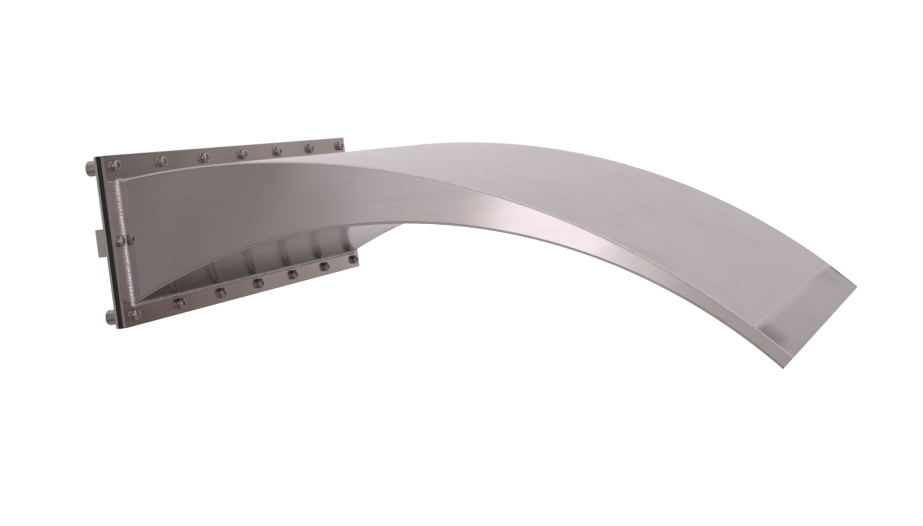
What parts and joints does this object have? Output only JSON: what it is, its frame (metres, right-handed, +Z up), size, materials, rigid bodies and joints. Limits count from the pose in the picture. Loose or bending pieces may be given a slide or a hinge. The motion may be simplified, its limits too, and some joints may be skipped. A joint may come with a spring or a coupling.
{
  "type": "wall water spout",
  "caption": "Wall-mounted hollow stainless water spout: bolted gasketed flange, curved tapering duct with crescent side plates and a folded outlet lip, threaded inlet behind.",
  "frame": {"origin": "centre of the rectangle of corner bosses, on the rear face of the backing plate, which seats on the wall", "axes": "+X out of the wall towards the outlet, +Y to the spout's left, +Z up"},
  "size_m": [0.5485, 0.532, 0.2096],
  "materials": {
    "brushed_stainless": "long-grain brushed",
    "flange_stainless": "brushed plate",
    "weld_stainless": "bright rippled weld",
    "turned_stainless": "turned",
    "screw_stainless": "polished",
    "gasket_rubber": "matt"
  },
  "bodies": {
    "root": {"front_flange": "flange_stainless", "gasket": "gasket_rubber", "backing_plate": "flange_stainless", "flange_screws": "screw_stainless", "screw_bosses": "turned_stainless", "anchor_block_left": "turned_stainless", "anchor_block_right": "turned_stainless", "inlet_socket": "turned_stainless", "inlet_weld": "weld_stainless", "top_plate": "brushed_stainless", "bottom_plate": "brushed_stainless", "side_plate_left": "brushed_stainless", "side_plate_right": "brushed_stainless", "flow_diffuser": "brushed_stainless", "outlet_spacers": "turned_stainless", "root_weld_top": "weld_stainless", "root_weld_bottom": "weld_stainless", "root_weld_left": "weld_stainless", "root_weld_right": "weld_stainless", "seam_weld_top_left": "weld_stainless", "seam_weld_top_right": "weld_stainless", "seam_weld_bottom_left": "weld_stainless", "seam_weld_bottom_right": "weld_stainless"}
  },
  "joints": []
}
